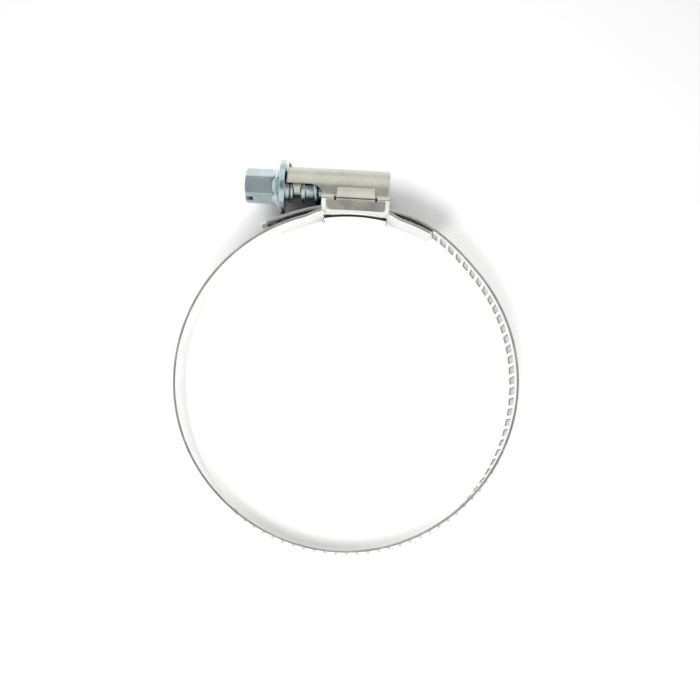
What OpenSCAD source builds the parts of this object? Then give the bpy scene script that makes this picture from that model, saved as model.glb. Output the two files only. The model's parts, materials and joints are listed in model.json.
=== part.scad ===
// Worm-drive hose clamp: one steel strip closed into a ring, with a worm screw in a folded housing.
// The ring's axis is Z and its centre is the origin. The housing sits at +Y, the screw's head at -X.

/* [Strip] */
// Diameter of the hose that fills the ring
hose_d = 76.8; // [74:0.2:84]
// Width of the strip
strip_w = 12; // [11:0.5:12]
// Thickness of the strip
strip_t = 0.6; // [0.5:0.05:0.65]
// Angle of the tongue's tip, counted from +X
tongue_a = 63; // [62.5:0.1:64]
// Angle of the tail's tip, counted from +X
tail_a = 121.5; // [119:0.5:124]
// Corner radius of the tail's tip
tail_corner_r = 2; // [0.5:0.5:4]

/* [Pressed thread] */
// Distance from one pressed ridge to the next
pitch = 2.5; // [2.4:0.05:2.6]
// Height of a ridge above the strip
ridge_h = 0.55; // [0.3:0.05:0.6]
// Width of a ridge at its foot
ridge_w = 1.1; // [0.8:0.05:1.2]
// Length of a ridge across the strip
ridge_len = 6.6; // [5:0.2:7]

/* [Housing] */
// Length of the saddle along the screw
saddle_len = 15.3; // [14:0.1:16]
// Thickness of the saddle's sheet
saddle_t = 0.6; // [0.5:0.05:0.7]
// Thickness of the shell's sheet
shell_t = 0.7; // [0.5:0.05:0.75]
// Width across the cheeks
housing_w = 13.6; // [13.5:0.1:14]
// How far the cheeks' top edges lie below the screw's axis
cheek_drop = 3.05; // [2.9:0.05:3.2]
// How far the hood reaches past the saddle, towards the screw's head
hood_len = 8.15; // [8.1:0.05:8.2]
// Width of each lock tab
tab_w = 8.9; // [7:0.1:10]

/* [Screw] */
// Width across the flats of the head
hex_af = 7; // [6:0.5:8]
// Length of the hexagon
hex_len = 6.35; // [5:0.05:8]
// Width of the screwdriver slot
slot_w = 1.5; // [1:0.1:2]
// Depth of the screwdriver slot
slot_depth = 1.9; // [1:0.1:2.5]
// Diameter of the flange
flange_d = 12.5; // [11:0.1:13]
// Outer diameter of the worm
worm_d = 7.7; // [7.6:0.05:7.75]
// Diameter of the worm's core
core_d = 6.2; // [5.8:0.05:6.25]
// Diameter of the neck that the crimp holds
neck_d = 5.2; // [4.8:0.1:5.3]
// Turn of the head about its axis at rest
head_turn = 66; // [0:1:90]

/* [Hidden] */
round_fn = 180;

// Layers of the stack under the worm, from the hose outwards
hose_r = hose_d / 2;
seat_gap = 0.02;
slide_gap = 0.13;
crest_gap = 0.15;
over_r = hose_r + saddle_t + seat_gap;
free_r = over_r + strip_t + slide_gap;
thread_r = free_r + strip_t;
axis_y = thread_r + crest_gap + worm_d / 2;

// Pressed thread: equal steps along the strip, so the angle per step depends on the radius
mesh_r = thread_r + ridge_h / 2;
free_step = pitch / mesh_r * 180 / PI;
ring_step = 120 / 33;
free_ridges = 7;
first_ridge = -8;
last_ridge = 60;
ridge_root = 0.1;
ridge_flank = 0.2;
worm_lead = atan(pitch / (PI * (worm_d + core_d) / 2));
function ridge_a(k) = k <= free_ridges
    ? 90 - k * free_step
    : 90 - free_ridges * free_step - (k - free_ridges) * ring_step;

// Flexing places of the strip, 120 degrees apart, each half way between two ridges
flex_ridges = 9.5;
flex_a = [for (turn = [0, 120, 240]) ridge_a(free_ridges + flex_ridges) + turn];
knuckle_r = strip_t * 0.45;
socket_r = strip_t * 0.55;

// The free end leaves the hose over two blended rises: over the tongue's tip, then over the saddle
rise_a = [50.5, 56, 55, 71.5];
tip_gap = 0.12;
tip_rise = saddle_t + tip_gap;
saddle_rise = free_r - hose_r - tip_rise;
// The tail leaves the circle at this angle and runs on straight
straight_a = 111;
// The fixed end's steps over the saddle's plate
step_in_a = [101.5, 107.5];
step_out_a = [74, 78.5];
function ease(u) = u <= 0 ? 0 : u >= 1 ? 1 : u * u * (3 - 2 * u);
function between(a, low, high) = (a - low) / (high - low);
function free_in_r(a) = (hose_r + tip_rise * ease(between(a, rise_a[0], rise_a[1]))
    + saddle_rise * ease(between(a, rise_a[2], rise_a[3]))) / cos(max(0, a - straight_a));
function fixed_drop(a) = a > 90
    ? ease(between(a, step_in_a[0], step_in_a[1]))
    : 1 - ease(between(a, step_out_a[0], step_out_a[1]));
function fixed_in_r(a) = over_r - (over_r - hose_r) * fixed_drop(a);
function at(r, a) = [r * cos(a), r * sin(a)];
path_step = 0.75;
bore_cut = 0.1;
on_hose = 0.001;

// Housing
saddle_x = saddle_len / 2;
channel_depth = 6;
cheek_z = housing_w / 2;
bend_r = 0.85;
inner_bend_r = 0.2;
cheek_y = axis_y - cheek_drop;
saddle_corner_r = [1.8, 1.1];
relief_w = 0.5;
relief_h = 1;
bore_r = worm_d / 2 + 0.2;
wall_r = bore_r + shell_t;
shoulder_fillet_r = 0.5;
notch_z = 5.75;
tab_play = 0.4;
tab_root_y = cheek_y - 1;
tab_fold_y = [cheek_y + 0.25, cheek_y + 0.6];
tab_tip_y = axis_y - 0.5;
tab_lean_z = [wall_r + 0.2, wall_r + 0.9];
tab_lean_h = 0.5;
hood_x = -saddle_x - hood_len;
hood_edge_y = axis_y + 0.25;
hood_corner_r = 3;
crimp_x = [hood_x + 1.7, hood_x + 3];
crimp_r = neck_d / 2 + 0.3;
crimp_lip_t = 0.7;
crimp_y = axis_y - 1.3;
stop_w = 2.4;
stop_t = 0.7;
stop_h = 0.8;

// Screw, from the flange's inner face to the worm's end
flange_x = hood_x - 0.4;
flange_t = 1.2;
cone_len = 1.8;
collar_r = worm_d / 2 - 0.15;
collar_groove_x = hood_x + 0.5;
collar_groove_w = 0.3;
collar_groove_depth = 0.4;
neck_x = [crimp_x[0] - 0.3, crimp_x[1] + 0.3];
worm_x = [neck_x[1] + 0.9, saddle_x - 0.85];
thread_x = [worm_x[0] + 0.7, worm_x[1] - 0.5];
hex_x = flange_x - flange_t - cone_len;
hex_corner_r = hex_af / 2 / cos(30);
hex_chamfer = 0.45;
hex_root = 0.5;
head_lap = 0.1;
tip_len = 0.6;
crest_w = 0.8;
root_w = 1.35;
turn_steps = 24;
thread_root = 0.1;
fade_turns = 0.5;
thread_turns = (thread_x[1] - thread_x[0]) / pitch;
thread_rings = floor(thread_turns * turn_steps);
start_turn = 0.75 + (thread_x[0] - pitch / 2) / pitch;

// A strip with round faces, from angle a0 to a1, inner radius r
module arc_strip(r, a0, a1) {
    rotate([0, 0, a0])
        rotate_extrude(angle = a1 - a0, $fn = round_fn)
            translate([r, -strip_w / 2]) square([strip_t, strip_w]);
}

// A strip whose inner face follows in_r(angle), cut back to the hose where it lies on it
module path_strip(from_a, to_a, in_r) {
    count = ceil((to_a - from_a) / path_step);
    angles = [for (i = [0 : count]) from_a + (to_a - from_a) * i / count];
    inner = [for (a = angles) at(in_r(a) - (in_r(a) < hose_r + on_hose ? bore_cut : 0), a)];
    outer = [for (i = [count : -1 : 0]) at(in_r(angles[i]) + strip_t, angles[i])];
    difference() {
        translate([0, 0, -strip_w / 2]) linear_extrude(strip_w) polygon(concat(inner, outer));
        cylinder(h = 2 * strip_w, r = hose_r, center = true, $fn = round_fn);
    }
}

// A rounded flexing edge on a stretch that ends at angle a
module knuckle(a) {
    middle = hose_r + strip_t / 2;
    translate([middle * cos(a), middle * sin(a), -strip_w / 2])
        cylinder(h = strip_w, r = knuckle_r, $fn = 48);
}

// The hollow edge that turns round a knuckle
module socket(a) {
    middle = hose_r + strip_t / 2;
    translate([middle * cos(a), middle * sin(a), -strip_w])
        cylinder(h = 2 * strip_w, r = socket_r, $fn = 48);
}

// One pressed ridge, standing on the strip's outer face at radius r
module ridge(a, r) {
    foot = ridge_w / 2;
    crown = foot - ridge_flank;
    rotate([0, 0, a])
        translate([r, 0, 0])
            rotate([-worm_lead, 0, 0])
                translate([0, 0, -ridge_len / 2])
                    linear_extrude(ridge_len)
                        polygon([[-ridge_root, -foot], [0, -foot], [ridge_h, -crown],
                                 [ridge_h, crown], [0, foot], [-ridge_root, foot]]);
}

module ridges(from_a, to_a) {
    for (k = [first_ridge : last_ridge])
        if (ridge_a(k) > from_a && ridge_a(k) < to_a)
            ridge(ridge_a(k), free_in_r(ridge_a(k)) + strip_t);
}

// Sheet profiles drawn as (Y, Z) and drawn out along X
module along_x(x0, x1) {
    translate([x0, 0, 0]) rotate([90, 0, 90]) linear_extrude(x1 - x0) children();
}

module screw_cylinder(x0, x1, r0, r1) {
    translate([x0, axis_y, 0]) rotate([0, 90, 0]) cylinder(h = x1 - x0, r1 = r0, r2 = r1, $fn = 96);
}

// U channel of the saddle as (radius, Z), with rounded bends
module channel_profile(r, half_w, corner_r) {
    translate([r + corner_r, -half_w]) square([channel_depth, 2 * half_w]);
    translate([r, corner_r - half_w]) square([channel_depth, 2 * (half_w - corner_r)]);
    for (side = [-1, 1])
        translate([r + corner_r, side * (half_w - corner_r)]) circle(r = corner_r, $fn = 48);
}

// Side outline of the saddle, with its lower corners rounded
module saddle_outline() {
    low_y = hose_r * cos(asin(saddle_x / hose_r));
    left_r = saddle_corner_r[0];
    right_r = saddle_corner_r[1];
    translate([-saddle_x, low_y + left_r]) square([saddle_len, cheek_y - low_y - left_r]);
    translate([left_r - saddle_x, low_y - 1]) square([saddle_len - left_r - right_r, left_r + 1]);
    translate([left_r - saddle_x, low_y + left_r]) circle(r = left_r, $fn = 64);
    translate([saddle_x - right_r, low_y + right_r]) circle(r = right_r, $fn = 64);
    translate([saddle_x - 2 * right_r, low_y + right_r]) square([2 * right_r, left_r]);
}

// Lock tab: rises from a cheek, folds over the shell's shoulder and leans on its wall
module lock_tab() {
    inner_z = cheek_z - saddle_t;
    along_x(-tab_w / 2, tab_w / 2)
        polygon([[tab_root_y, inner_z], [tab_fold_y[0], inner_z], [tab_tip_y - tab_lean_h, tab_lean_z[0]],
                 [tab_tip_y, tab_lean_z[0]], [tab_tip_y, tab_lean_z[1]], [tab_fold_y[1], cheek_z],
                 [tab_root_y, cheek_z]]);
}

module saddle() {
    color("#b8b8ac") {
        difference() {
            intersection() {
                rotate([0, 0, 70])
                    rotate_extrude(angle = 40, $fn = round_fn)
                        difference() {
                            channel_profile(hose_r, cheek_z, bend_r);
                            channel_profile(hose_r + saddle_t, cheek_z - saddle_t, inner_bend_r);
                        }
                translate([0, 0, -housing_w]) linear_extrude(2 * housing_w) saddle_outline();
            }
            for (side = [-1, 1])
                translate([side * (tab_w + relief_w) / 2, cheek_y, 0])
                    cube([relief_w, relief_h, 2 * housing_w], center = true);
        }
        lock_tab();
        mirror([0, 0, 1]) lock_tab();
    }
}

// Section of the shell as (Y, Z): half-round roof, straight walls and a shoulder each side
module shell_section() {
    translate([axis_y, 0]) half_ring(wall_r, bore_r, 0);
    for (side = [0, 1])
        mirror([0, side]) {
            translate([cheek_y, bore_r]) square([axis_y - cheek_y, shell_t]);
            translate([cheek_y, bore_r]) square([shell_t, cheek_z - bore_r]);
            difference() {
                translate([cheek_y + shell_t / 2, wall_r - shell_t / 2])
                    square(shoulder_fillet_r + shell_t / 2);
                translate([cheek_y + shell_t + shoulder_fillet_r, wall_r + shoulder_fillet_r])
                    circle(r = shoulder_fillet_r, $fn = 48);
            }
        }
}

// The part of a ring that lies beyond low_y, as (Y, Z) from the screw's axis
module half_ring(outer_r, inner_r, low_y) {
    difference() {
        circle(r = outer_r, $fn = 128);
        circle(r = inner_r, $fn = 96);
        translate([-2 * outer_r, -2 * outer_r]) square([2 * outer_r + low_y, 4 * outer_r]);
    }
}

module housing_shell() {
    color("#c8c8b6") {
        difference() {
            along_x(hood_x, saddle_x) shell_section();
            // Opening under the hood, with one rounded corner
            translate([0, 0, -housing_w])
                linear_extrude(2 * housing_w) {
                    translate([hood_x - 1, 0]) square([hood_len + 1 - hood_corner_r, hood_edge_y]);
                    translate([hood_x - 1, 0]) square([hood_len + 1, hood_edge_y - hood_corner_r]);
                    translate([-saddle_x - hood_corner_r, hood_edge_y - hood_corner_r])
                        circle(r = hood_corner_r, $fn = 96);
                }
            // Notches that the lock tabs pass through
            for (side = [-1, 1])
                translate([0, cheek_y, side * (notch_z + housing_w / 2)])
                    cube([tab_w + tab_play, 2 * shell_t, housing_w], center = true);
        }
        // Crimp that sits in the screw's neck, with a lip each side that reaches below the hood's edge
        along_x(crimp_x[0], crimp_x[1])
            translate([axis_y, 0]) {
                half_ring(bore_r + shell_t / 2, crimp_r, hood_edge_y - axis_y);
                half_ring(crimp_r + crimp_lip_t, crimp_r, crimp_y - axis_y);
            }
        // Turned-up stop at the hood's end
        translate([hood_x, axis_y + wall_r - shell_t / 2, -stop_w / 2])
            cube([stop_t, stop_h + shell_t / 2, stop_w]);
    }
}

// Corners of the thread's section on one ring, which fades in and out at the ends
function thread_fade(i) = min(1, min(i + 1, thread_rings - i + 1) / turn_steps / fade_turns);
function thread_ring(i) =
    let (turn = start_turn + i / turn_steps,
         a = 360 * turn,
         x = thread_x[0] + i * pitch / turn_steps,
         foot_r = core_d / 2 - thread_root,
         crest_r = core_d / 2 + (worm_d - core_d) / 2 * thread_fade(i),
         low = [foot_r * cos(a), foot_r * sin(a)],
         high = [crest_r * cos(a), crest_r * sin(a)])
    [[low[0], low[1], x - root_w / 2], [high[0], high[1], x - crest_w / 2],
     [high[0], high[1], x + crest_w / 2], [low[0], low[1], x + root_w / 2]];

module worm_thread() {
    points = [for (i = [0 : thread_rings]) each thread_ring(i)];
    sides = [for (i = [0 : thread_rings - 1], j = [0 : 3])
                let (a = 4 * i + j, b = 4 * i + (j + 1) % 4)
                each [[a, b + 4, a + 4], [a, b, b + 4]]];
    last = 4 * thread_rings;
    ends = [[0, 3, 2, 1], [last, last + 1, last + 2, last + 3]];
    translate([0, axis_y, 0]) rotate([0, 90, 0]) polyhedron(points = points, faces = concat(sides, ends));
}

module hex_head() {
    end_x = hex_x - hex_len;
    difference() {
        intersection() {
            translate([end_x, axis_y, 0])
                rotate([0, 90, 0])
                    rotate([0, 0, head_turn - 30])
                        cylinder(h = hex_len + hex_root, r = hex_corner_r, $fn = 6);
            union() {
                screw_cylinder(end_x, end_x + hex_chamfer, hex_corner_r - 2 * hex_chamfer, hex_corner_r);
                screw_cylinder(end_x + hex_chamfer, hex_x + hex_root, hex_corner_r + head_lap,
                               hex_corner_r + head_lap);
            }
        }
        translate([end_x, axis_y, 0])
            rotate([0, 90, 0])
                rotate([0, 0, head_turn])
                    cube([2 * hex_af, slot_w, 2 * slot_depth], center = true);
    }
}

module worm_screw() {
    groove_r = collar_r - collar_groove_depth;
    color("#a9b8bc") {
        hex_head();
        screw_cylinder(hex_x, hex_x + cone_len, hex_af / 2 + head_lap, flange_d / 2);
        screw_cylinder(hex_x + cone_len, flange_x, flange_d / 2, flange_d / 2);
        screw_cylinder(flange_x, collar_groove_x, collar_r, collar_r);
        screw_cylinder(collar_groove_x, collar_groove_x + collar_groove_w, groove_r, groove_r);
        screw_cylinder(collar_groove_x + collar_groove_w, neck_x[0], collar_r, collar_r);
        screw_cylinder(neck_x[0], neck_x[1], neck_d / 2, neck_d / 2);
        screw_cylinder(neck_x[1], worm_x[0], collar_r, collar_r);
        screw_cylinder(worm_x[0], worm_x[1], core_d / 2, core_d / 2);
        screw_cylinder(worm_x[1], worm_x[1] + tip_len, core_d / 2, core_d / 2 - tip_len);
        worm_thread();
    }
}

module band_fixed_end() {
    color("#d2d3ce") {
        path_strip(tongue_a, flex_a[1], function(a) fixed_in_r(a));
        knuckle(flex_a[1]);
    }
}

module bow(from_a, to_a) {
    difference() {
        arc_strip(hose_r, from_a, to_a);
        socket(from_a);
    }
    knuckle(to_a);
}

module band_left_bow() {
    color("#cfd0cb") {
        bow(flex_a[1], flex_a[2]);
        rotate([0, 0, 360]) ridges(flex_a[1] - 360, flex_a[2] - 360);
    }
}

module band_right_bow() {
    color("#cbccc7") {
        bow(flex_a[2], flex_a[0] + 360);
        ridges(flex_a[2] - 360, flex_a[0]);
    }
}

// What is cut off to round the two corners of the tail's tip
module tail_corner_cuts() {
    rotate([0, 0, tail_a])
        translate([free_r - strip_t, 0, 0])
            for (side = [0, 1])
                mirror([0, 0, side])
                    rotate([90, 0, 90])
                        translate([-tail_corner_r, strip_w / 2 - tail_corner_r])
                            linear_extrude(3 * strip_t)
                                difference() {
                                    square(2 * tail_corner_r);
                                    circle(r = tail_corner_r, $fn = 64);
                                }
}

module band_free_end() {
    color("#c9cac4") {
        difference() {
            path_strip(flex_a[0], tail_a, function(a) free_in_r(a));
            socket(flex_a[0]);
            tail_corner_cuts();
        }
        ridges(flex_a[0], tail_a);
    }
}

housing_shell();
saddle();
worm_screw();
band_fixed_end();
band_left_bow();
band_right_bow();
band_free_end();
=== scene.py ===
"""Looks of the worm-drive hose clamp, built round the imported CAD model.

Lengths in this script are millimetres and angles are degrees, and a mesh is scaled to metres when it is made.
The ring's axis is Z. Angles along the strip are counted from +X, and grow from the tongue to the tail.
"""
import json
import math

import bmesh
import bpy
import numpy as np
from mathutils import Matrix, Vector


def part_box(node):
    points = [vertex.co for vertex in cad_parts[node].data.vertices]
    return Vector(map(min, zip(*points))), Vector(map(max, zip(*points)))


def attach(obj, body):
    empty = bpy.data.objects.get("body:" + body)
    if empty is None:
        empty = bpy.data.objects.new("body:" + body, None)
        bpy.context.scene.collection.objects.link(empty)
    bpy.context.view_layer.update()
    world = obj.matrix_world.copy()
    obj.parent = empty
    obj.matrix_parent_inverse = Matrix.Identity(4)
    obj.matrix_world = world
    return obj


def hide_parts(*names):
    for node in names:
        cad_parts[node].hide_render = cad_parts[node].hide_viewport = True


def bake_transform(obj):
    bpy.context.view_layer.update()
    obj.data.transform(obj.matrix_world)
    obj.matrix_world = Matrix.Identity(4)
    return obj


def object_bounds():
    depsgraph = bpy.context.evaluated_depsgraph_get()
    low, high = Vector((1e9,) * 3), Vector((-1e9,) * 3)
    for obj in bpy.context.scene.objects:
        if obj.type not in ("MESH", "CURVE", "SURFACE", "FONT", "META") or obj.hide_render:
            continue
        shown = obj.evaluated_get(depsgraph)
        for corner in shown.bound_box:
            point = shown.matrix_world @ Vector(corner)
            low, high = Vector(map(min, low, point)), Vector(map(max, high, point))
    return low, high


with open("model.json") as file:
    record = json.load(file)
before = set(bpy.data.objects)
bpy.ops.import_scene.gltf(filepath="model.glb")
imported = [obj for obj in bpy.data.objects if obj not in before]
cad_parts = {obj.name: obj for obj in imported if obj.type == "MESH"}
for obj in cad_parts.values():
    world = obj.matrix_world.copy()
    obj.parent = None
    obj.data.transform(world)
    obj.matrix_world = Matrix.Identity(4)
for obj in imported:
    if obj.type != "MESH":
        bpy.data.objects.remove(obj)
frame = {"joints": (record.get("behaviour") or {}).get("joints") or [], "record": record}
cad_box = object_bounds()

# ---------------------------------------------------------------- sizes taken from the frame
MM = 0.001
JOINTS = {joint["name"]: joint for joint in frame["joints"]}
MOUNTS = {mount["name"]: mount for mount in frame["record"]["mounts"]}


def node_box(node):
    low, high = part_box(node)
    return [value / MM for value in low], [value / MM for value in high]


def joint_angle(name):
    x, y, _ = JOINTS[name]["pos_m"]
    return math.degrees(math.atan2(y, x)) % 360


HOSE_R = MOUNTS["hose_bore"]["dims"]["r_mm"]
STRIP_W = MOUNTS["hose_bore"]["dims"]["length_mm"]
AXIS_Y = JOINTS["screw_spin"]["pos_m"][1] / MM
FLEX_LEFT = joint_angle("flex_left")
FLEX_BOTTOM = joint_angle("flex_bottom")
FLEX_RIGHT = joint_angle("flex_right") + 360
SADDLE_HIGH = node_box("saddle")[1]
SHELL_LOW, SHELL_HIGH = node_box("housing_shell")
SCREW_LOW, SCREW_HIGH = node_box("worm_screw")

# ---------------------------------------------------------------- sheet and strip
STRIP_T = 0.6
SADDLE_T = 0.6
SHELL_T = 0.7
SEAT_GAP = 0.02
SLIDE_GAP = 0.13
OVER_R = HOSE_R + SADDLE_T + SEAT_GAP
FREE_R = OVER_R + STRIP_T + SLIDE_GAP
THREAD_R = FREE_R + STRIP_T
TONGUE_A = 63
TAIL_A = 121.5 + 360
TAIL_LINE_A = 111 + 360
STEP_UP_A = (107.5, 101.5)
STEP_DOWN_A = (74, 78.5)
FREE_RISE_A = (402, 431.5)
FREE_START_A = 240
TONGUE_CORNER_R = 0.6
TAIL_CORNER_R = 2
EDGE_R = 0.04
EDGE_POINTS = 5
LEAN = 14.8
LEAN_Z = 3
LEAN_START_A = (186, 252)
LEAN_END_A = (294, 372)

# ---------------------------------------------------------------- pressed thread
PITCH = 2.5
RIDGE_H = 0.55
POCKET_DEPTH = 0.45
RIDGE_LEN = 6.6
CREST_FOOT, CREST_FLANK = 0.6, 0.32
CREST_OVERRUN, CREST_FADE = 0.2, 0.55
POCKET_FOOT, POCKET_FLANK = 0.92, 0.48
POCKET_OVERRUN, POCKET_FADE = 0.4, 1.3
SLANT_START_A = (222, 228)
SLANT_FADE_A = (0.9, 3.4)
SLANT_REACH = 3.6
FIRST_RIDGE, LAST_RIDGE, FREE_RIDGES = -8, 60, 7
RIDGES_PER_THIRD = 33
WORM_R = 3.85
CORE_R = 3.1
FREE_STEP = math.degrees(PITCH / (THREAD_R + RIDGE_H / 2))
RING_STEP = 120 / RIDGES_PER_THIRD
THREAD_SLOPE = PITCH / (math.pi * (WORM_R + CORE_R))

# ---------------------------------------------------------------- housing
SADDLE_X = SADDLE_HIGH[0]
CHEEK_Z = SADDLE_HIGH[2]
CHEEK_Y = AXIS_Y - 3.05
FLAT_LOW = HOSE_R + 0.35
BASE_R = HOSE_R - 0.6
BASE_T = 0.85
BEND_DROP = 1.3
END_DROP = 0.54
END_BANDS = (1.0, 0.7)
SADDLE_CORNERS = (1.8, 1.1)
BEND_POWER, END_POWER = 1.5, 1.1
CORNER_SHARE = 0.8
CORNER_PULL = 0.4
TAB_GROOVE = 0.28
TAB_TAPER = 0.035
PLATE_FILLET = 0.25
BORE_R = WORM_R + 0.2
HOOD_X = SHELL_LOW[0]
SHELL_X = SHELL_HIGH[0]
HOOD_EDGE_Y = AXIS_Y + 0.25
HOOD_CORNER = 3
SHELL_FOLD_R = 0.5
SHELL_EDGE_LEAN = 0.32
WALL_TOP = 0.6
TAB_X = 4.35
TAB_TIP_Y = AXIS_Y - 0.5
TAB_PLAY = 0.5
NOTCH_Z = 5.75
NECK_R = 2.6
CRIMP_X = HOOD_X + 2.35
CRIMP_END_A = 26
STOP_LEN, STOP_HALF_W = 0.7, 1.2
FLANGE_R = SCREW_HIGH[2]
HEX_END_X = SCREW_LOW[0]
HEX_AF = 7
HEX_LEN = 6.35
HEX_CORNER_R = 0.35
SLOT_W, SLOT_DEPTH = 1.5, 1.9
HEAD_TURN = 66


def ease(u):
    u = np.clip(u, 0, 1)
    return u * u * (3 - 2 * u)


def rise(a, low, high):
    return ease((a - low) / (high - low))


# ---------------------------------------------------------------- mesh helpers
def raw_object(name, points, faces):
    mesh = bpy.data.meshes.new(name)
    mesh.from_pydata((np.asarray(points) * MM).tolist(), [], faces)
    made = bpy.data.objects.new(name, mesh)
    bpy.context.scene.collection.objects.link(made)
    return made


def new_object(name, points, faces):
    made = raw_object(name, points, faces)
    face_outwards(made)
    return made


def face_outwards(piece):
    """Joins doubled points and turns every face outwards."""
    work = bmesh.new()
    work.from_mesh(piece.data)
    bmesh.ops.remove_doubles(work, verts=work.verts, dist=1e-7)
    bmesh.ops.dissolve_degenerate(work, edges=work.edges, dist=1e-7)
    bmesh.ops.recalc_face_normals(work, faces=work.faces)
    work.to_mesh(piece.data)
    work.free()


def settle(piece):
    """Turns the piece's modifiers into its mesh."""
    graph = bpy.context.evaluated_depsgraph_get()
    mesh = bpy.data.meshes.new_from_object(piece.evaluated_get(graph))
    piece.modifiers.clear()
    piece.data = mesh


def bevel(piece, width, segments=2, angle=40):
    modifier = piece.modifiers.new("bevel", "BEVEL")
    modifier.width = width * MM
    modifier.segments = segments
    modifier.limit_method = "ANGLE"
    modifier.angle_limit = math.radians(angle)
    modifier.use_clamp_overlap = True
    settle(piece)


def boolean(piece, other, operation):
    modifier = piece.modifiers.new("boolean", "BOOLEAN")
    modifier.operation = operation
    modifier.object = other
    modifier.solver = "EXACT"
    settle(piece)
    bpy.data.objects.remove(other)


def smooth(piece, angle=40):
    """Smooth shading that leaves flat faces flat right up to their rounded edges."""
    piece.data.shade_smooth()
    piece.data.set_sharp_from_angle(angle=math.radians(angle))
    modifier = piece.modifiers.new("weighted", "WEIGHTED_NORMAL")
    modifier.keep_sharp = True
    settle(piece)


def loft(name, rings):
    """A closed skin over rings of points, with a flat face on each end."""
    count = len(rings[0])
    points = [point for ring in rings for point in ring]
    faces = []
    for i in range(len(rings) - 1):
        for j in range(count):
            a, b = i * count + j, i * count + (j + 1) % count
            faces.append((a, b, b + count, a + count))
    faces.append(tuple(reversed(range(count))))
    faces.append(tuple(range(len(points) - count, len(points))))
    return new_object(name, points, faces)


def sheet(name, outer, inner, kept):
    """A sheet between two grids of points, over the cells that are kept, closed along every free edge."""
    rows, columns = outer.shape[:2]
    size = rows * columns
    points = np.concatenate([outer.reshape(-1, 3), inner.reshape(-1, 3)])
    faces, edges = [], set()
    for i, j in zip(*np.nonzero(kept)):
        a, b = i * columns + j, i * columns + j + 1
        cell = (a, b, b + columns, a + columns)
        faces.append(cell)
        faces.append(tuple(size + k for k in reversed(cell)))
        for k in range(4):
            edge = (cell[k], cell[(k + 1) % 4])
            if edge[::-1] in edges:
                edges.remove(edge[::-1])
            else:
                edges.add(edge)
    for a, b in sorted(edges):
        faces.append((b, a, size + a, size + b))
    made = new_object(name, points, faces)
    work = bmesh.new()
    work.from_mesh(made.data)
    bmesh.ops.delete(work, geom=[v for v in work.verts if not v.link_faces], context="VERTS")
    work.to_mesh(made.data)
    work.free()
    return made


# ---------------------------------------------------------------- strip
def ridge_a(k):
    """Angle of ridge k on the last stretch of the strip, where ridge 0 lies under the worm."""
    if k <= FREE_RIDGES:
        return 450 - k * FREE_STEP
    return 450 - FREE_RIDGES * FREE_STEP - (k - FREE_RIDGES) * RING_STEP


def inner_r(a):
    """Radius of the strip's inner face, over both ends' steps."""
    over_saddle = np.where(a > 90, rise(a, *STEP_UP_A), rise(a, *STEP_DOWN_A))
    fixed = HOSE_R + (OVER_R - HOSE_R) * over_saddle
    free = HOSE_R + (FREE_R - HOSE_R) * rise(a, *FREE_RISE_A)
    free = free / np.cos(np.radians(np.maximum(a - TAIL_LINE_A, 0)))
    return np.where(a < FREE_START_A, fixed, free)


def lean(a):
    """The strip's own twist: its upper edge leans in along the bottom of the ring."""
    return LEAN * rise(a, *LEAN_START_A) * (1 - rise(a, *LEAN_END_A))


def ridge_profile(offset, foot, flank):
    return ease((foot - np.abs(offset)) / flank)


def half_width(a):
    """Half of the strip's width, drawn in round the corners of its two tips."""
    half = STRIP_W / 2
    for tip, radius in ((TONGUE_A, TONGUE_CORNER_R), (TAIL_A, TAIL_CORNER_R)):
        distance = np.clip(np.abs(a - tip) * math.radians(FREE_R), 0, radius)
        half = np.minimum(half, STRIP_W / 2 - radius + np.sqrt(radius**2 - (radius - distance)**2))
    return half


def half_thickness(a):
    half = STRIP_T / 2
    for tip in (TONGUE_A, TAIL_A):
        distance = np.clip(np.abs(a - tip) * math.radians(FREE_R), 0, EDGE_R)
        half = np.minimum(half, STRIP_T / 2 - EDGE_R + np.sqrt(EDGE_R**2 - (EDGE_R - distance)**2))
    return half


def strip_stations(start, end):
    """Angles of the strip's cross-sections, close together on the flanks of each ridge."""
    flank = (0.18, 0.3, 0.4, 0.5, 0.6, 0.7, 0.8, 0.92, 1.05)
    offsets = [0] + [side * step for step in flank for side in (-1, 1)]
    ridges = [ridge_a(k) for k in range(FIRST_RIDGE, LAST_RIDGE + 1)]
    found = {start, end}
    for tip in (TONGUE_A, TAIL_A):
        for step in (0, 0.02, 0.06, 0.14, 0.3, 0.5, 0.8, 1.1, 1.5, 2, 2.4):
            found.add(tip + (step if tip == TONGUE_A else -step) / math.radians(FREE_R))
    for a in ridges:
        for offset in offsets:
            found.add(a + offset / math.radians(inner_r(a) + STRIP_T))
    a = start
    while a < end:
        if min(abs(a - ridge) for ridge in ridges) > RING_STEP / 2 - 0.3:
            found.add(a)
        a += 0.5
    kept = []
    for a in sorted(x for x in found if start <= x <= end):
        if not kept or a - kept[-1] > 0.02:
            kept.append(a)
    kept[-1] = end
    return np.array(kept)


def strip_columns():
    """Places across the strip, from its middle, close together at the ridges' ends."""
    middle = [0, 0.9, 1.8, 2.4, 2.7, 2.9, 3.05, 3.2, 3.35, 3.5, 3.7, 4.1, 4.8, 5.4]
    return np.array([-z for z in reversed(middle[1:])] + middle)


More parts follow.
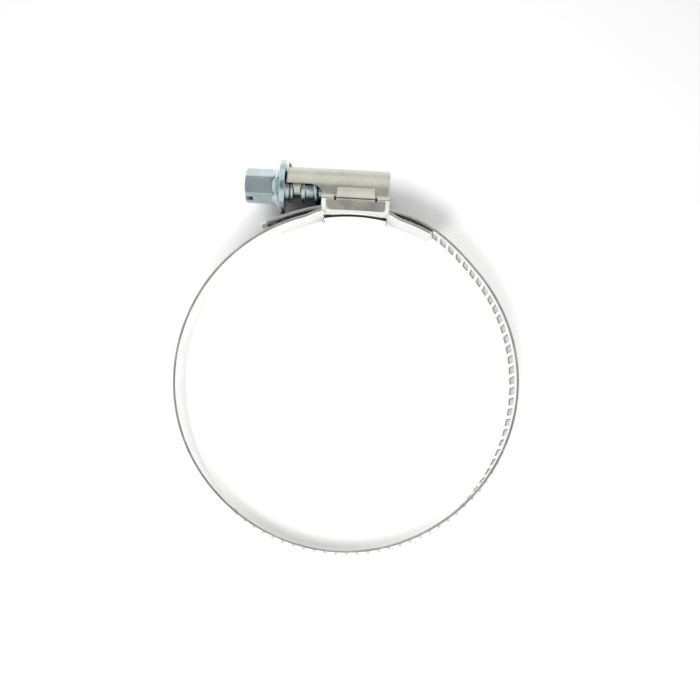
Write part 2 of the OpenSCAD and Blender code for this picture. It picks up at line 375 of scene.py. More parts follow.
def strip_section(a, offset):
    """One closed cross-section at angle a, as (radius, z, pressed depth), starting along the inner face."""
    half_w, half_t = half_width(a), half_thickness(a)
    corner = min(EDGE_R, half_t - 0.01)
    flat = half_w - corner
    z = strip_columns() * flat / (STRIP_W / 2 - EDGE_R)
    crest_ends = ease((RIDGE_LEN / 2 + CREST_OVERRUN - np.abs(z)) / CREST_FADE)
    pocket_ends = ease((RIDGE_LEN / 2 + POCKET_OVERRUN - np.abs(z)) / POCKET_FADE)
    crest = RIDGE_H * ridge_profile(offset, CREST_FOOT, CREST_FLANK) * crest_ends
    pocket = POCKET_DEPTH * ridge_profile(offset, POCKET_FOOT, POCKET_FLANK) * pocket_ends
    arc = np.radians(np.linspace(0, 90, EDGE_POINTS))
    middle_r = inner_r(a) + STRIP_T / 2
    side_z = flat + corner * np.sin(arc)
    side_r = half_t - corner + corner * np.cos(arc)
    none = np.zeros(EDGE_POINTS)
    radius = np.concatenate([middle_r - half_t + pocket, middle_r - side_r, middle_r + side_r[::-1],
                             middle_r + half_t + crest[::-1], middle_r + side_r, middle_r - side_r[::-1]])
    height = np.concatenate([z, side_z, side_z[::-1], z[::-1], -side_z, -side_z[::-1]])
    press = np.concatenate([-pocket / POCKET_DEPTH, none, none, crest[::-1] / RIDGE_H, none, none])
    return radius, height, press


def strip_ring(a, ridges):
    """The cross-section's points in the frame, sheared along the ridges' slant and turned by the lean."""
    offset = (a - ridges[np.argmin(np.abs(ridges - a))]) * math.radians(inner_r(a) + STRIP_T)
    radius, height, press = strip_section(a, offset)
    middle_r = inner_r(a) + STRIP_T / 2
    slant = rise(a, *SLANT_START_A) * rise(TAIL_A - a, *SLANT_FADE_A)
    shift = THREAD_SLOPE * slant * np.clip(height, -SLANT_REACH, SLANT_REACH)
    angle = np.radians(a + np.degrees(shift / middle_r))
    turn = math.radians(lean(a))
    out, up = radius - middle_r, height - LEAN_Z
    r = middle_r + out * math.cos(turn) - up * math.sin(turn)
    z = LEAN_Z * math.cos(turn) + up * math.cos(turn) + out * math.sin(turn)
    return np.stack([r * np.cos(angle), r * np.sin(angle), z], -1), press


def strip_piece(name, start, end):
    """One stretch of the strip as a closed mesh, with its run and its pressed depth as attributes."""
    stations = strip_stations(start, end)
    ridges = np.array([ridge_a(k) for k in range(FIRST_RIDGE, LAST_RIDGE + 1)])
    rings, presses = zip(*[strip_ring(a, ridges) for a in stations])
    count = len(rings[0])
    side = len(strip_columns()) + 2 * EDGE_POINTS
    faces = []
    for i in range(len(rings) - 1):
        for j in range(count):
            a, b = i * count + j, i * count + (j + 1) % count
            faces.append((a, b, b + count, a + count))
    for first, flip in ((0, 1), ((len(rings) - 1) * count, -1)):
        loop = [first + (j - EDGE_POINTS) % count for j in range(count)]
        for j in range(side - 1):
            cell = (loop[j], loop[j + 1], loop[count - 2 - j], loop[count - 1 - j])
            if len(set(cell)) == 4:
                faces.append(cell[::flip])
    made = raw_object(name, np.concatenate(rings), faces)
    run = np.repeat(np.radians(stations) * FREE_R, count)
    for attribute, values in (("pressed", np.concatenate(presses)), ("along", run)):
        layer = made.data.attributes.new(attribute, "FLOAT", "POINT")
        layer.data.foreach_set("value", values.astype(np.float32))
    face_outwards(made)
    smooth(made, 50)
    return made


def make_strip():
    first_seam = FLEX_LEFT + 60
    second_seam = FLEX_BOTTOM + 60 + RING_STEP / 2
    stretches = (
        ("strip_fixed_end", TONGUE_A, first_seam, "housing", "left_bow", FLEX_LEFT, ["band_fixed_end"]),
        ("strip_bows", first_seam, second_seam, "left_bow", "right_bow", FLEX_BOTTOM,
         ["band_left_bow", "band_right_bow"]),
        ("strip_free_end", second_seam, TAIL_A, "right_bow", "free_end", FLEX_RIGHT, ["band_free_end"]),
    )
    finish = strip_steel()
    for name, start, end, before, after, flex, nodes in stretches:
        piece = strip_piece(name, start, end)
        piece.data.materials.append(finish)
        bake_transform(piece)
        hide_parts(*nodes)


# ---------------------------------------------------------------- housing shell
def shell_section(low_y, out):
    """The shell's folded section as (y, z) from the screw's axis, out from the middle of the sheet."""
    middle = BORE_R + SHELL_T / 2
    fillet = SHELL_FOLD_R + SHELL_T / 2
    sill = CHEEK_Y - AXIS_Y + SHELL_T / 2
    wall_low = sill + fillet
    lean_in = SHELL_EDGE_LEAN if out > 0 else 0
    points = [(sill + out, z) for z in (CHEEK_Z - lean_in, CHEEK_Z - 0.45, NOTCH_Z + 0.25, NOTCH_Z)]
    for turn in np.radians(np.linspace(0, 90, 7)):
        reach = fillet - out
        points.append((wall_low - reach * math.cos(turn), middle + fillet - reach * math.sin(turn)))
    points.pop()
    for y in np.linspace(max(low_y, wall_low), WALL_TOP, 7):
        points.append((y, math.sqrt((middle + out)**2 - max(y, 0)**2)))
    start = math.asin(WALL_TOP / (middle + out))
    for turn in np.linspace(start, math.pi / 2, 16)[1:]:
        points.append(((middle + out) * math.sin(turn), (middle + out) * math.cos(turn)))
    return points + [(y, -z) for y, z in reversed(points[:-1])]


def hood_low_y(x):
    """Height of the hood's lower edge above the screw's axis, down the round corner to the shoulder."""
    edge = HOOD_EDGE_Y - AXIS_Y
    wall_low = CHEEK_Y - AXIS_Y + SHELL_T + SHELL_FOLD_R
    u = (x + SADDLE_X + HOOD_CORNER) / HOOD_CORNER
    if u <= 0:
        return edge
    return wall_low + (edge - wall_low) * math.sqrt(max(0, 1 - min(u, 1)**2))


def shell_stations():
    corner = list(-SADDLE_X - HOOD_CORNER + HOOD_CORNER * np.sin(np.radians(np.linspace(0, 90, 13))))
    hood = list(np.linspace(HOOD_X, corner[0], 9)[:-1])
    notch = TAB_X + TAB_PLAY
    body = [-6.9, -5.8, -notch, -3.1, -1.5, 0, 1.5, 3.1, notch, 5.8, 6.9, SHELL_X]
    return hood + corner + body


def make_shell():
    stations = shell_stations()
    grids = []
    for out in (SHELL_T / 2, -SHELL_T / 2):
        grid = [[(x, AXIS_Y + y, z) for y, z in shell_section(hood_low_y(x), out)] for x in stations]
        grids.append(np.array(grid))
    rows, columns = grids[0].shape[:2]
    shoulder = 3
    fold = shoulder + 6
    kept = np.ones((rows - 1, columns - 1), bool)
    for i in range(rows - 1):
        middle = (stations[i] + stations[i + 1]) / 2
        gone = fold + 1 if middle < -SADDLE_X else shoulder if abs(middle) < TAB_X else 0
        kept[i, :gone] = False
        kept[i, columns - 1 - gone:] = False
    shell = sheet("housing_shell_sheet", grids[0], grids[1], kept)
    bevel(shell, 0.09)
    boolean(shell, crimp(), "UNION")
    boolean(shell, hood_stop(), "UNION")
    smooth(shell)
    shell.data.materials.append(shell_steel())
    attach(shell, "housing")
    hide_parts("housing_shell")


def crimp():
    """The pressed-in ring that holds the screw by its neck, narrowing to a lug on each side."""
    rings = []
    outer_r, inner_rad = BORE_R + 0.2, NECK_R + 0.3
    end = math.radians(CRIMP_END_A)
    for turn in np.linspace(-end, math.pi + end, 40):
        beyond = max(0, -min(turn, math.pi - turn)) / end
        half_out, half_in = 0.95 - 0.4 * beyond, 0.62 - 0.15 * beyond
        top = outer_r - 0.45 * beyond
        flank = [(half_in - 0.1, inner_rad), (half_in + 0.05, inner_rad + 0.14),
                 (half_out - 0.08, top - 0.3), (half_out, top)]
        profile = [(-x, r) for x, r in reversed(flank)] + flank
        rings.append([(CRIMP_X + x, AXIS_Y + r * math.sin(turn), r * math.cos(turn)) for x, r in profile])
    return loft("crimp", rings)


def rounded_box(name, low, high, radius):
    x0, y0, z0 = low
    x1, y1, z1 = high
    rings = [[(x, y0, z0), (x, y1, z0), (x, y1, z1), (x, y0, z1)] for x in (x0, x1)]
    made = loft(name, rings)
    bevel(made, radius, 3)
    return made


def hood_stop():
    roof = AXIS_Y + BORE_R + SHELL_T / 2
    low = (HOOD_X + SEAT_GAP, roof, -STOP_HALF_W)
    high = (HOOD_X + STOP_LEN, SHELL_HIGH[1] - SEAT_GAP, STOP_HALF_W)
    return rounded_box("stop", low, high, 0.2)


# ---------------------------------------------------------------- saddle
def cheek_drop(x, y, base_y):
    """How far the cheek's outer face has turned in, along its two ends and down its lower bend."""
    side = 0 if x < 0 else 1
    corner = SADDLE_CORNERS[side] * CORNER_SHARE
    in_x = END_BANDS[side] + corner - (SADDLE_X - abs(x))
    in_y = FLAT_LOW + corner - y
    if in_x > 0 and in_y > 0:
        reach = math.hypot(in_x, in_y) - corner
        lower = in_y**2 / (in_x**2 + in_y**2)
    else:
        reach = max(in_x, in_y) - corner
        lower = 1 if in_y > in_x else 0
    depth = END_BANDS[side] * (1 - lower) + (FLAT_LOW - base_y) * lower
    most = END_DROP * (1 - lower) + BEND_DROP * lower
    share = min(max(reach / depth, 0), 1)
    bent = 1 - (1 - share**BEND_POWER)**(1 / BEND_POWER)
    return most * (bent * lower + share**END_POWER * (1 - lower))


def drawn_in(x, y):
    """The place x, moved in where the outline's lower corners are round."""
    corner = SADDLE_CORNERS[0 if x < 0 else 1]
    start = TAB_X + TAB_PLAY
    if abs(x) < start:
        return x
    above = min(max(y - BASE_R + 0.5, 0), corner)
    pull = CORNER_PULL * (corner - math.sqrt(corner**2 - (corner - above)**2))
    return math.copysign(start + (abs(x) - start) * (SADDLE_X - pull - start) / (SADDLE_X - start), x)


def saddle_column(x, side):
    """Outer and inner points down one cheek, from the tab's tip to the middle of the base."""
    base_x = drawn_in(x, 0)
    base_y = math.sqrt(BASE_R**2 - base_x**2)
    inner_y = math.sqrt((BASE_R + BASE_T)**2 - base_x**2)
    outer, inner = [], []
    inner_z = CHEEK_Z - SADDLE_T
    tab = tab_path()
    for u, (y, z, ny, nz) in enumerate(tab):
        draw_in = 1 - TAB_TAPER * (1 - u / (len(tab) - 1)) if abs(x) <= TAB_X else 1
        outer.append((x * draw_in, y + ny * SADDLE_T / 2, z + nz * SADDLE_T / 2))
        inner.append((x * draw_in, y - ny * SADDLE_T / 2, z - nz * SADDLE_T / 2))
    rows = [CHEEK_Y + 0.18, CHEEK_Y + 0.05, CHEEK_Y - 0.08, CHEEK_Y - 0.5]
    rows += list(np.linspace(CHEEK_Y - 0.5, FLAT_LOW, 9)[1:])
    for row, y in enumerate(rows):
        groove = TAB_GROOVE if row == 1 and abs(x) <= TAB_X else 0
        drop = min(cheek_drop(x, y, base_y), END_DROP) + groove
        outer.append((drawn_in(x, y), y, CHEEK_Z - drop))
        inner.append((drawn_in(x, y), y, inner_z))
    for turn in np.radians(np.linspace(0, 90, 11))[1:]:
        y = FLAT_LOW - (FLAT_LOW - base_y) * math.sin(turn)
        outer.append((drawn_in(x, y), y, CHEEK_Z - cheek_drop(x, y, base_y)))
        inner.append((base_x, inner_y + PLATE_FILLET * (1 - math.sin(turn)),
                      inner_z - PLATE_FILLET * (1 - math.cos(turn))))
    for share in (0.9, 0.75, 0.6, 0.4, 0.2, 0):
        outer.append((base_x, base_y, (CHEEK_Z - BEND_DROP) * share))
        inner.append((base_x, inner_y, (CHEEK_Z - BEND_DROP) * share))
    flip = np.array([1, 1, side])
    return np.array(outer) * flip, np.array(inner) * flip


def tab_path():
    """Middle line of a lock tab as (y, z, normal y, normal z), from its tip down to the cheek's top edge."""
    tip = (TAB_TIP_Y, BORE_R + SHELL_T + 0.5)
    root = (CHEEK_Y + 0.18, CHEEK_Z - SADDLE_T / 2)
    controls = [root, (CHEEK_Y + 0.5, root[1]), (tip[0] - 0.95, tip[1] + 0.75), tip]
    path = []
    for u in np.linspace(1, 0, 10)[:-1]:
        basis = ((1 - u)**3, 3 * u * (1 - u)**2, 3 * u * u * (1 - u), u**3)
        slope = (-3 * (1 - u)**2, 3 * (1 - u)**2 - 6 * u * (1 - u), 6 * u * (1 - u) - 3 * u * u, 3 * u * u)
        y, z = (sum(w * c[k] for w, c in zip(basis, controls)) for k in (0, 1))
        dy, dz = (sum(w * c[k] for w, c in zip(slope, controls)) for k in (0, 1))
        length = math.hypot(dy, dz)
        path.append((y, z, -dz / length, dy / length))
    return path


def saddle_stations():
    left = [-SADDLE_X + END_BANDS[0] * t for t in (0, 0.02, 0.06, 0.12, 0.2, 0.32, 0.46, 0.62, 0.8, 1)]
    right = [SADDLE_X - END_BANDS[1] * t for t in (1, 0.8, 0.62, 0.46, 0.32, 0.2, 0.12, 0.06, 0.02, 0)]
    relief = TAB_X + TAB_PLAY
    body = [-6.35, -6.05, -5.75, -5.45, -5.15, -relief, -TAB_X, -3.4, -2.2, -1.1, 0,
            1.1, 2.2, 3.4, TAB_X, relief, 5.2, 5.55, 5.9, 6.25, 6.6]
    return left + body + right


def make_saddle():
    stations = saddle_stations()
    outer, inner = [], []
    for x in stations:
        near = saddle_column(x, 1)
        far = saddle_column(x, -1)
        outer.append(np.concatenate([near[0], far[0][::-1][1:]]))
        inner.append(np.concatenate([near[1], far[1][::-1][1:]]))
    outer, inner = np.array(outer), np.array(inner)
    rows, columns = outer.shape[:2]
    tab_rows = len(tab_path())
    kept = np.ones((rows - 1, columns - 1), bool)
    for i in range(rows - 1):
        middle = abs(stations[i] + stations[i + 1]) / 2
        gone = 0 if middle < TAB_X else tab_rows + 3 if middle < TAB_X + TAB_PLAY else tab_rows + 2
        kept[i, :gone] = False
        kept[i, columns - 1 - gone:] = False
    saddle = sheet("saddle_sheet", outer, inner, kept)
    bevel(saddle, 0.07, 2, 50)
    smooth(saddle, 45)
    saddle.data.materials.append(saddle_steel())
    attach(saddle, "housing")
    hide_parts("saddle")


# ---------------------------------------------------------------- screw
def round_about_screw(r, turn, x):
    return (x, AXIS_Y + r * math.sin(turn), -r * math.cos(turn))


def lathe(name, profile, steps=96):
    """A closed turned solid from (x, radius) points."""
    rings = []
    for x, r in profile:
        rings.append([round_about_screw(r, 2 * math.pi * i / steps, x) for i in range(steps)])
    return loft(name, rings)


def eased_profile(corners, radius=0.12, steps=3):
    """The same outline with each inner corner rounded by a short curve."""
    points = [corners[0]]
    for before, at, after in zip(corners, corners[1:], corners[2:]):
        cuts = []
        for other in (before, after):
            length = math.dist(at, other)
            share = min(radius, length * 0.45) / length
            cuts.append([at[k] + (other[k] - at[k]) * share for k in (0, 1)])
        for i in range(steps + 1):
            u = i / steps
            weights = ((1 - u)**2, 2 * u * (1 - u), u * u)
            controls = (cuts[0], at, cuts[1])
            points.append([sum(w * c[k] for w, c in zip(weights, controls)) for k in (0, 1)])
    points.append(corners[-1])
    return points


def screw_profile():
    flange_x = HOOD_X - 0.4
    head_x = HEX_END_X + HEX_LEN
    collar_r = WORM_R - 0.15
    groove_x = HOOD_X + 0.5
    neck = (HOOD_X + 1.4, HOOD_X + 3.3)
    worm = (neck[1] + 0.9, SADDLE_X - 0.85)
    return [(head_x, 0.5), (head_x, 3.62), (head_x + 0.7, 4.0), (head_x + 1.25, 4.75), (head_x + 1.62, 5.75),
            (head_x + 1.8, FLANGE_R), (flange_x, FLANGE_R), (flange_x + 0.02, collar_r), (groove_x, collar_r),
            (groove_x, collar_r - 0.4), (groove_x + 0.3, collar_r - 0.4), (groove_x + 0.3, collar_r),
            (neck[0], collar_r), (neck[0] + 0.05, NECK_R), (neck[1] - 0.05, NECK_R), (neck[1], collar_r),
            (worm[0], collar_r), (worm[0] + 0.1, CORE_R), (worm[1], CORE_R), (worm[1] + 0.6, CORE_R - 0.6),
            (worm[1] + 0.6, 0.5)]


def worm_thread():
    """The rounded thread as one swept closed skin, fading into the core over half a turn at each end."""
    steps = 48
    start_x, end_x = HOOD_X + 3.3 + 0.9 + 0.7, SADDLE_X - 1.35
    first_turn = 0.75 + (start_x - PITCH / 2) / PITCH
    count = int((end_x - start_x) / PITCH * steps)
    flank = [(0.2, 0.985), (0.36, 0.88), (0.45, 0.68), (0.55, 0.28), (0.70, 0)]
    profile = [(-dx, h) for dx, h in reversed(flank)] + [(0, 1)] + flank
    rings = []
    for i in range(count + 1):
        fade = min(1, min(i + 1, count - i + 1) / (steps / 2))
        foot_r = CORE_R - 0.12
        crest_r = CORE_R + 0.02 + (WORM_R - CORE_R - 0.02) * math.sqrt(fade)
        turn = 2 * math.pi * (first_turn + i / steps)
        x = start_x + PITCH * i / steps
        rings.append([round_about_screw(foot_r + (crest_r - foot_r) * h, turn, x + dx) for dx, h in profile])
    return loft("worm_thread", rings)


def hexagon(x):
    """Hexagon with rounded corners, turned as the head is."""
    points = []
    radius = (HEX_AF / 2 - HEX_CORNER_R) / math.cos(math.radians(30))
    for side in range(6):
        turn = math.radians(HEAD_TURN - 30 + 60 * side)
        for step in (-30, -15, 0, 15, 30):
            local = turn + math.radians(step)
            y = radius * math.sin(turn) + HEX_CORNER_R * math.sin(local)
            z = radius * math.cos(turn) + HEX_CORNER_R * math.cos(local)
            points.append((x, AXIS_Y + y, -z))
    return points


def hex_head():
    foot_x = HEX_END_X + HEX_LEN
    prism = loft("hex_prism", [hexagon(HEX_END_X), hexagon(foot_x + 0.4)])
    corner = HEX_AF / 2 / math.cos(math.radians(30))
    cap = lathe("hex_cap", [(HEX_END_X, 0.5), (HEX_END_X, corner - 0.85), (HEX_END_X + 0.06, corner - 0.68),
                            (HEX_END_X + 0.45, corner), (foot_x + 1, corner + 0.1), (foot_x + 1, 0.5)], 120)
    boolean(prism, cap, "INTERSECT")
    corner_low = (-SLOT_DEPTH, -SLOT_W / 2, -2 * HEX_AF)
    corner_high = (SLOT_DEPTH, SLOT_W / 2, 2 * HEX_AF)
    slot = rounded_box("slot", corner_low, corner_high, 0.12)
    slot.data.transform(Matrix.Translation((HEX_END_X * MM, AXIS_Y * MM, 0))
                        @ Matrix.Rotation(math.radians(HEAD_TURN), 4, "X"))
    boolean(prism, slot, "DIFFERENCE")
    return prism


def make_screw():
    screw = lathe("worm_screw_turned", eased_profile(screw_profile()))
    boolean(screw, worm_thread(), "UNION")
    boolean(screw, hex_head(), "UNION")
    bevel(screw, 0.05, 2, 48)
    smooth(screw, 35)
    screw.data.materials.append(zinc())
    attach(screw, "screw")
    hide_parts("worm_screw")


# ---------------------------------------------------------------- materials
class Nodes:
    """A short way to write a material's nodes."""

    def __init__(self, material):
        self.material = material
        self.material.use_nodes = True
        self.tree = self.material.node_tree
        self.shader = self.tree.nodes["Principled BSDF"]

    @classmethod
    def new(cls, name, metallic=1.0):
        made = cls(bpy.data.materials.new(name))
        made.shader.inputs["Metallic"].default_value = metallic
        return made

    def add(self, kind, **settings):
        node = self.tree.nodes.new(kind)
        for key, value in settings.items():
            setattr(node, key, value)
        return node

    def put(self, socket, value):
        if isinstance(value, bpy.types.NodeSocket):
            self.tree.links.new(value, socket)
        else:
            socket.default_value = value

    def place(self, scale):
        """Object coordinates in millimetres, times a scale for each axis."""
        coordinates = self.add("ShaderNodeTexCoord").outputs["Object"]
        mapping = self.add("ShaderNodeMapping")
        self.put(mapping.inputs["Vector"], coordinates)
        mapping.inputs["Scale"].default_value = [value / MM for value in scale]
        return mapping.outputs["Vector"]

    def noise(self, vector, detail=4, roughness=0.55, distortion=0.0):
        node = self.add("ShaderNodeTexNoise")
        self.put(node.inputs["Vector"], vector)
        node.inputs["Scale"].default_value = 1
        node.inputs["Detail"].default_value = detail
        node.inputs["Roughness"].default_value = roughness
        node.inputs["Distortion"].default_value = distortion
        return node.outputs["Fac"]

    def spread(self, value, low, high, to_low=0.0, to_high=1.0):
        node = self.add("ShaderNodeMapRange", clamp=True)
        for name, amount in (("Value", value), ("From Min", low), ("From Max", high),
                             ("To Min", to_low), ("To Max", to_high)):
            self.put(node.inputs[name], amount)
        return node.outputs["Result"]

    def math(self, operation, first, second):
        node = self.add("ShaderNodeMath", operation=operation)
        self.put(node.inputs[0], first)
        self.put(node.inputs[1], second)
        return node.outputs["Value"]

    def mix(self, share, first, second):
        node = self.add("ShaderNodeMix", data_type="RGBA")
        self.put(node.inputs["Factor"], share)
        self.put(node.inputs["A"], first)
        self.put(node.inputs["B"], second)
        return node.outputs["Result"]

    def bump(self, height, strength, distance, below=None):
        node = self.add("ShaderNodeBump")
        self.put(node.inputs["Height"], height)
        node.inputs["Strength"].default_value = strength
        node.inputs["Distance"].default_value = distance * MM
        if below:
            self.put(node.inputs["Normal"], below)
        return node.outputs["Normal"]

    def painted_hollow_shade(self, colour, reach, dark, low, high):
        """Paints shade into the colour in grooves and under overhangs, from ambient occlusion."""
        node = self.add("ShaderNodeAmbientOcclusion", samples=8)
        node.inputs["Distance"].default_value = reach * MM
        return self.mix(self.spread(node.outputs["AO"], low, high), (dark, dark, dark, 1), colour)

    def finish(self, colour, roughness, normal):
        self.put(self.shader.inputs["Base Color"], colour)
        self.put(self.shader.inputs["Roughness"], roughness)
        self.put(self.shader.inputs["Normal"], normal)
        return self.material


def rolled_steel(name, light, dark, shine, pit_depth=1.0):
    """Rolled steel sheet: fine lines along X, cloudy tone, small pits and a dull film, with painted shade in
    grooves and under overhangs.
    """
    n = Nodes.new(name)
    lines = n.noise(n.place((0.35, 9, 9)), 3, 0.6)
    clouds = n.noise(n.place((0.22, 0.3, 0.3)), 5, 0.6, 0.4)
    grain = n.noise(n.place((5, 7, 7)), 3, 0.6)
    dots = n.noise(n.place((1.3, 1.5, 1.5)), 2, 0.5)
    pits = n.spread(dots, 0.70, 0.76)
    tone = n.spread(n.math("ADD", clouds, n.math("MULTIPLY", grain, 0.35)), 0.45, 0.9)
    colour = n.mix(tone, dark, light)
    colour = n.mix(n.math("MULTIPLY", pits, 0.55 * pit_depth), colour, (0.16, 0.155, 0.13, 1))
    # Painted shade: the colour darkens in grooves and under overhangs.
    colour = n.painted_hollow_shade(colour, 1.2, 0.03, 0.3, 0.75)
    rough = n.math("ADD", n.spread(clouds, 0.35, 0.7, shine - 0.05, shine + 0.07),
                   n.spread(grain, 0.3, 0.7, -0.03, 0.05))
    normal = n.bump(lines, 0.22, 0.012)
    normal = n.bump(grain, 0.25, 0.012, normal)
    normal = n.bump(n.math("MULTIPLY", pits, -1.0), 0.4 * pit_depth, 0.03, normal)
    return n.finish(colour, rough, normal)


def shell_steel():
    return rolled_steel("shell_satin_steel", (0.66, 0.655, 0.575, 1), (0.53, 0.525, 0.455, 1), 0.3)


def saddle_steel():
    """The same sheet, with a brighter colour on its bends that is partly polish and partly painted highlight,
    and painted shade as a dull dark line along the plate's edge at the +Z side, for the shadowed gap between
    plate and strip.
    """
    material = rolled_steel("saddle_satin_steel", (0.68, 0.675, 0.60, 1), (0.55, 0.545, 0.485, 1), 0.27, 0.6)
    n = Nodes(material)
    place = n.add("ShaderNodeSeparateXYZ")
    n.put(place.inputs["Vector"], n.place((1, 1, 1)))
    # Painted shade: a dull, near-black line along the plate's edge at the +Z side, standing for the shadowed
    # gap between plate and strip.
    radius = n.math("SQRT", n.math("ADD", n.math("POWER", place.outputs["X"], 2),
                                   n.math("POWER", place.outputs["Y"], 2)), 0)
    edge = CHEEK_Z - BEND_DROP
    height = place.outputs["Z"]
    band = n.math("MULTIPLY", n.spread(height, edge - 2.6, edge - 2.0),
                  n.spread(height, edge + 0.7, edge + 0.3))
    painted_gap_shade = n.math("MULTIPLY", band, n.spread(radius, BASE_R + 0.45, BASE_R + 0.3))
    # Partly polish and partly painted highlight: the bends and end bands get a near-white colour for their
    # bright reflection.
    along = n.math("ABSOLUTE", place.outputs["X"], 0)
    bent = n.math("MAXIMUM", n.spread(place.outputs["Y"], FLAT_LOW + 0.05, FLAT_LOW - 0.15),
                  n.spread(along, SADDLE_X - END_BANDS[0] - 0.05, SADDLE_X - END_BANDS[0] + 0.15))
    n.put(n.shader.inputs["Metallic"], n.math("SUBTRACT", 1.0, painted_gap_shade))
    n.put(n.shader.inputs["Specular IOR Level"], n.math("SUBTRACT", 0.5, n.math("MULTIPLY", painted_gap_shade, 0.5)))
    colour = n.shader.inputs["Base Color"].links[0].from_socket
    colour = n.mix(bent, colour, (0.9, 0.9, 0.87, 1))
    n.put(n.shader.inputs["Base Color"], n.mix(painted_gap_shade, colour, (0.02, 0.02, 0.018, 1)))
    return material


def strip_steel():
    """Bright strip: scratches along its run, with painted shade in the pressed pockets, darkest and dullest
    on their flanks, and the crests worn.
    """
    n = Nodes.new("strip_bright_steel")
    along = n.add("ShaderNodeAttribute", attribute_name="along").outputs["Fac"]
    pressed = n.add("ShaderNodeAttribute", attribute_name="pressed").outputs["Fac"]
    place = n.add("ShaderNodeSeparateXYZ")
    n.put(place.inputs["Vector"], n.place((1, 1, 1)))
    lanes = n.add("ShaderNodeCombineXYZ")
    n.put(lanes.inputs["X"], n.math("MULTIPLY", along, 0.12))
    n.put(lanes.inputs["Y"], n.math("MULTIPLY", place.outputs["Z"], 7.0))
    scratches = n.noise(lanes.outputs["Vector"], 4, 0.62)
    clouds = n.noise(n.place((0.25, 0.25, 0.4)), 5, 0.6, 0.3)
    grain = n.noise(n.place((6, 6, 6)), 3, 0.6)
    pocket = n.spread(pressed, -0.05, -0.75)
    crest = n.spread(pressed, 0.6, 1.0)
    tone = n.spread(n.math("ADD", clouds, n.math("MULTIPLY", scratches, 0.6)), 0.55, 1.1)
    colour = n.mix(tone, (0.64, 0.64, 0.61, 1), (0.82, 0.82, 0.795, 1))
    # Painted shade in the pockets: the flanks turn dull and near black, and the whole pocket a little darker.
    flank = n.math("MULTIPLY", n.spread(pocket, 0.03, 0.25), n.spread(pocket, 0.99, 0.7))
    shade = n.math("ADD", n.math("MULTIPLY", flank, 0.75), n.math("MULTIPLY", pocket, 0.22))
    n.put(n.shader.inputs["Metallic"], n.math("SUBTRACT", 1.0, n.math("MULTIPLY", flank, 0.95)))
    n.put(n.shader.inputs["Specular IOR Level"], n.math("SUBTRACT", 0.5, n.math("MULTIPLY", flank, 0.5)))
    colour = n.mix(shade, colour, (0.05, 0.05, 0.045, 1))
    colour = n.mix(n.math("MULTIPLY", crest, 0.35), colour, (0.84, 0.84, 0.82, 1))
    rough = n.math("ADD", n.spread(clouds, 0.3, 0.7, 0.2, 0.29), n.math("MULTIPLY", pocket, 0.2))
    normal = n.bump(scratches, 0.3, 0.01)
    normal = n.bump(grain, 0.15, 0.01, normal)
    return n.finish(colour, rough, normal)


def zinc():
    """Blue passivated zinc: cool grey with teal patches, turning marks and dents, duller on the hexagon, with
    painted shade in grooves, on undersides and under overhangs.
    """
    n = Nodes.new("blue_passivated_zinc")
    clouds = n.noise(n.place((0.35, 0.35, 0.35)), 5, 0.6, 0.6)
    patches = n.noise(n.place((0.6, 0.6, 0.6)), 3, 0.5)
    grain = n.noise(n.place((5, 5, 5)), 4, 0.6)
    turned = n.noise(n.place((9, 0.5, 0.5)), 3, 0.6)
    colour = n.mix(n.spread(clouds, 0.35, 0.68), (0.46, 0.555, 0.585, 1), (0.60, 0.685, 0.71, 1))
    colour = n.mix(n.spread(patches, 0.56, 0.70, 0, 0.55), colour, (0.42, 0.60, 0.62, 1))
    colour = n.mix(n.spread(grain, 0.70, 0.78, 0, 0.5), colour, (0.16, 0.2, 0.21, 1))
    # Painted shade: the colour darkens in grooves, on undersides and under overhangs.
    colour = n.painted_hollow_shade(colour, 2.6, 0.02, 0.22, 0.64)
    place = n.add("ShaderNodeSeparateXYZ")
    n.put(place.inputs["Vector"], n.place((1, 1, 1)))
    worn = n.spread(place.outputs["X"], HEX_END_X + HEX_LEN + 1, HEX_END_X + HEX_LEN - 0.5, 0, 0.2)
    rough = n.math("ADD", n.spread(clouds, 0.3, 0.7, 0.09, 0.17), n.spread(grain, 0.3, 0.7, -0.03, 0.04))
    rough = n.math("ADD", rough, worn)
    normal = n.bump(turned, 0.2, 0.014)
    normal = n.bump(grain, 0.3, 0.014, normal)
    return n.finish(colour, rough, normal)


def floor_paint():
    n = Nodes.new("white_floor", 0.0)
    clouds = n.noise(n.place((0.02, 0.02, 0.02)), 2, 0.5)
    colour = n.mix(clouds, (0.81, 0.81, 0.81, 1), (0.83, 0.83, 0.83, 1))
    n.shader.inputs["Roughness"].default_value = 0.85
    n.shader.inputs["Specular IOR Level"].default_value = 0.1
    # Painted shade: the floor's colour darkens where parts hem it in, as in the gap under the worm.
    n.put(n.shader.inputs["Base Color"], n.painted_hollow_shade(colour, 9, 0.02, 0.16, 0.46))
    return n.material


# ---------------------------------------------------------------- stage, lights and camera
FLOOR_REACH = 900
FLOOR_GAP = 0.01
CAMERA_ROLL = 3
CAMERA_OFFSET = (0.9, 7.4)
CAMERA_HEIGHT = 194


def make_floor():
    level = cad_box[0][2] / MM - FLOOR_GAP
    corners = [(-1, -1), (1, -1), (1, 1), (-1, 1)]
    points = [(x * FLOOR_REACH, y * FLOOR_REACH, level) for x, y in corners]
    floor = new_object("floor", points, [(0, 1, 2, 3)])
    floor.data.materials.append(floor_paint())


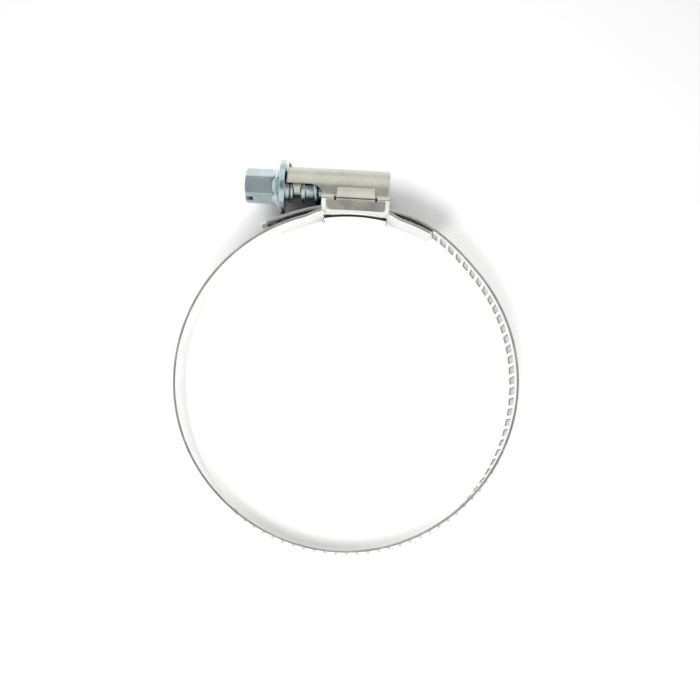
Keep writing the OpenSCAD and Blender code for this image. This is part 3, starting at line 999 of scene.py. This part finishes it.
def make_world():
    """A white room with a grey ceiling, a little darker near the floor."""
    world = bpy.data.worlds.new("studio")
    bpy.context.scene.world = world
    world.use_nodes = True
    tree = world.node_tree
    background = tree.nodes["Background"]
    place = tree.nodes.new("ShaderNodeTexCoord")
    height = tree.nodes.new("ShaderNodeSeparateXYZ")
    ramp = tree.nodes.new("ShaderNodeValToRGB")
    tree.links.new(place.outputs["Generated"], height.inputs["Vector"])
    tree.links.new(height.outputs["Z"], ramp.inputs["Fac"])
    tree.links.new(ramp.outputs["Color"], background.inputs["Color"])
    stops = ramp.color_ramp.elements
    stops[0].position, stops[0].color = 0.0, (0.7, 0.705, 0.71, 1)
    stops[1].position, stops[1].color = 1.0, (0.25, 0.253, 0.25, 1)
    for position, value in ((0.22, 0.75), (0.42, 0.97), (0.91, 0.8), (0.965, 0.3)):
        stop = stops.new(position)
        stop.color = (value, value, value, 1)
    background.inputs["Strength"].default_value = 1.15


def area_light(name, place, size, watts):
    light = bpy.data.lights.new(name, "AREA")
    light.shape = "DISK"
    light.size = size * MM
    light.energy = watts
    made = bpy.data.objects.new(name, light)
    bpy.context.scene.collection.objects.link(made)
    made.location = Vector(place) * MM
    made.rotation_euler = (-made.location).to_track_quat("-Z", "Y").to_euler()
    return made


def make_lights():
    """Two soft lamps on the -Y side. Only the strip blocks them, so the floor past the housing is white."""
    lamps = (
        ("key", (4, -36, 108), 50, 0.09, ("strip_fixed_end", "strip_bows", "strip_free_end")),
        ("side", (-52, -30, 108), 60, 0.1, ("strip_fixed_end", "strip_bows")),
    )
    for name, place, size, watts, blocked_by in lamps:
        lamp = area_light(name, place, size, watts)
        lamp.visible_camera = False
        lamp.visible_glossy = False
        blockers = bpy.data.collections.new(name + "_blockers")
        for piece in blocked_by:
            blockers.objects.link(bpy.data.objects[piece])
        lamp.light_linking.blocker_collection = blockers


def make_camera():
    """Straight down the ring's axis, a little off its centre, with the clamp turned slightly in the frame."""
    roll = Matrix.Rotation(math.radians(CAMERA_ROLL), 3, "Z")
    place = roll @ Vector((*CAMERA_OFFSET, CAMERA_HEIGHT)) * MM
    target = roll @ Vector((*CAMERA_OFFSET, STRIP_W / 2)) * MM
    up = roll @ Vector((0, 1, 0))
    forward = (target - place).normalized()
    right = forward.cross(up).normalized()
    above = right.cross(forward)
    camera = bpy.data.objects.new("camera", bpy.data.cameras.new("camera"))
    bpy.context.scene.collection.objects.link(camera)
    camera.data.lens = 43
    camera.data.sensor_width = 36
    camera.data.clip_start = 0.001
    turn = Matrix((right, above, -forward)).transposed().to_4x4()
    camera.matrix_world = Matrix.Translation(place) @ turn
    bpy.context.scene.camera = camera
    bpy.context.scene.view_settings.view_transform = "Standard"


make_camera()
make_strip()
make_shell()
make_saddle()
make_screw()
make_floor()
make_world()
make_lights()
